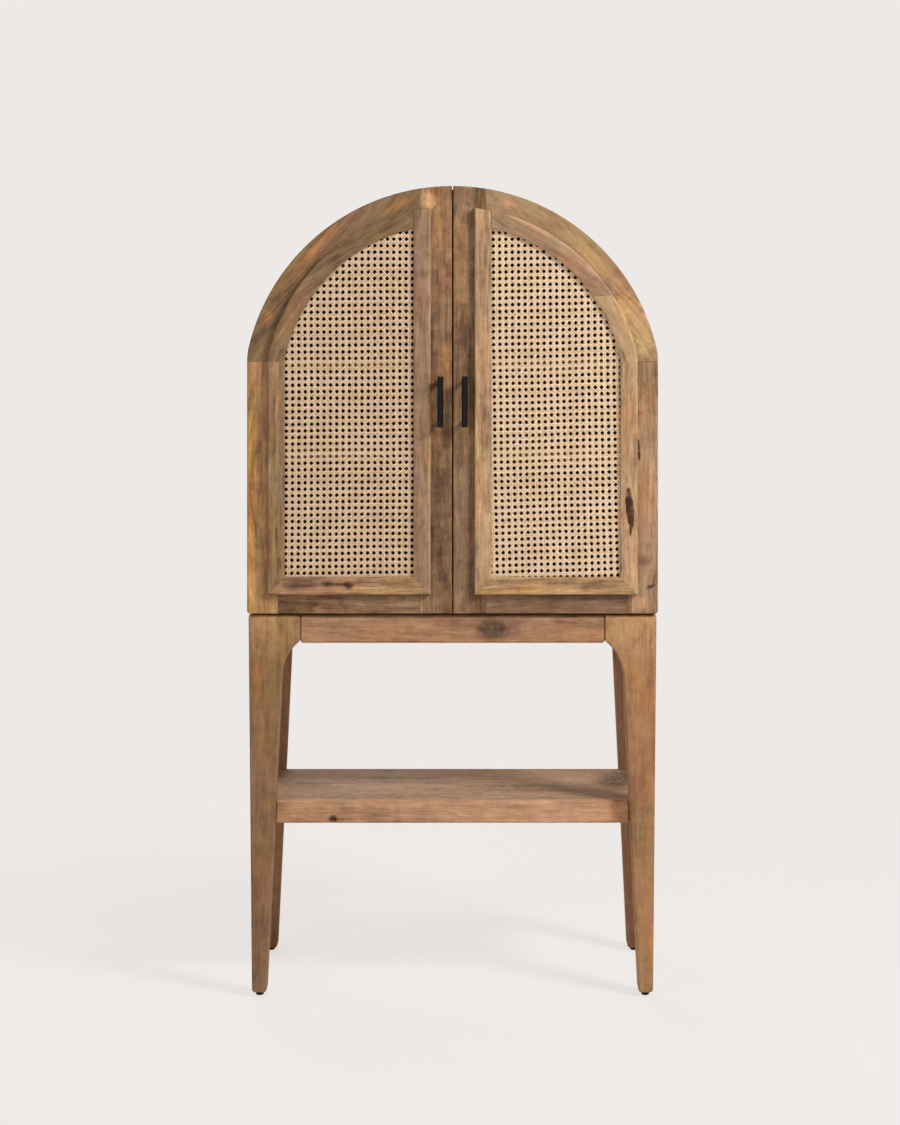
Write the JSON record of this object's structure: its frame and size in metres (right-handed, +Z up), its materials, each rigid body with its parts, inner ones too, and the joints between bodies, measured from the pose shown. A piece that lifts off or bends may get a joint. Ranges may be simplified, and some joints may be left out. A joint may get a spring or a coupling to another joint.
{
  "type": "arched two-door cabinet on stand",
  "caption": "Free-standing wooden cabinet with a round arched top, cane-panelled doors on side hinges and small bar handles, on a stand with tapered legs and an open shelf.",
  "frame": {"origin": "on the floor under the centre of the overall box, glides' undersides at z = 0", "axes": "+Z up, -Y out of the doors, +X to the right seen from the front"},
  "size_m": [0.81, 0.422, 1.6],
  "materials": {
    "mango_frame": "satin lacquer, greyish brown",
    "mango_moulding": "satin lacquer, brown",
    "mango_stand": "satin lacquer, warm tan",
    "mango_case": "satin lacquer, greyish brown",
    "plain_wood": "planed, unfinished",
    "back_board": "veneered board, matt",
    "cane": "natural woven cane, slight sheen",
    "black_metal": "satin black",
    "zinc_steel": "zinc plated",
    "black_plastic": "matt"
  },
  "bodies": {
    "cabinet": {"arched_top": "mango_case", "back_panel": "back_board", "back_panel_screws": "zinc_steel", "bottom_panel": "mango_case", "case_fixing_screws": "zinc_steel", "foot_glides": "black_plastic", "front_apron": "mango_stand", "front_left_leg": "mango_stand", "front_right_leg": "mango_stand", "hinge_case_leaves": "zinc_steel", "hinge_case_screws": "zinc_steel", "hinge_pins": "zinc_steel", "left_side_panel": "mango_case", "lower_shelf": "mango_stand", "magnetic_catches": "black_plastic", "middle_shelf": "mango_case", "rear_apron": "mango_stand", "rear_left_leg": "mango_stand", "rear_right_leg": "mango_stand", "right_side_panel": "mango_case", "shelf_pins": "zinc_steel", "side_aprons": "mango_stand", "stand_corner_blocks": "plain_wood", "upper_shelf": "mango_case"},
    "left_door": {"left_arch_rail": "mango_frame", "left_bottom_moulding": "mango_moulding", "left_bottom_rail": "mango_frame", "left_cane_beads": "plain_wood", "left_cane_panel": "cane", "left_catch_strike": "zinc_steel", "left_centre_moulding": "mango_moulding", "left_centre_stile": "mango_frame", "left_handle_bar": "black_metal", "left_handle_posts": "black_metal", "left_handle_screws": "zinc_steel", "left_hinge_leaves": "zinc_steel", "left_hinge_screws": "zinc_steel", "left_lower_arch_moulding": "mango_moulding", "left_outer_moulding": "mango_moulding", "left_outer_stile": "mango_frame", "left_upper_arch_moulding": "mango_moulding"},
    "right_door": {"right_arch_rail": "mango_frame", "right_bottom_moulding": "mango_moulding", "right_bottom_rail": "mango_frame", "right_cane_beads": "plain_wood", "right_cane_panel": "cane", "right_catch_strike": "zinc_steel", "right_centre_moulding": "mango_moulding", "right_centre_stile": "mango_frame", "right_handle_bar": "black_metal", "right_handle_posts": "black_metal", "right_handle_screws": "zinc_steel", "right_hinge_leaves": "zinc_steel", "right_hinge_screws": "zinc_steel", "right_lower_arch_moulding": "mango_moulding", "right_outer_moulding": "mango_moulding", "right_outer_stile": "mango_frame", "right_upper_arch_moulding": "mango_moulding"}
  },
  "joints": [
    {"name": "left_door_hinge", "type": "hinge", "parent": "cabinet", "child": "left_door", "pos_m": [-0.4013, -0.156, 1], "axis": [0, 0, -1], "range_deg": [0, 110]},
    {"name": "right_door_hinge", "type": "hinge", "parent": "cabinet", "child": "right_door", "pos_m": [0.4013, -0.156, 1], "axis": [0, 0, 1], "range_deg": [0, 110]}
  ]
}
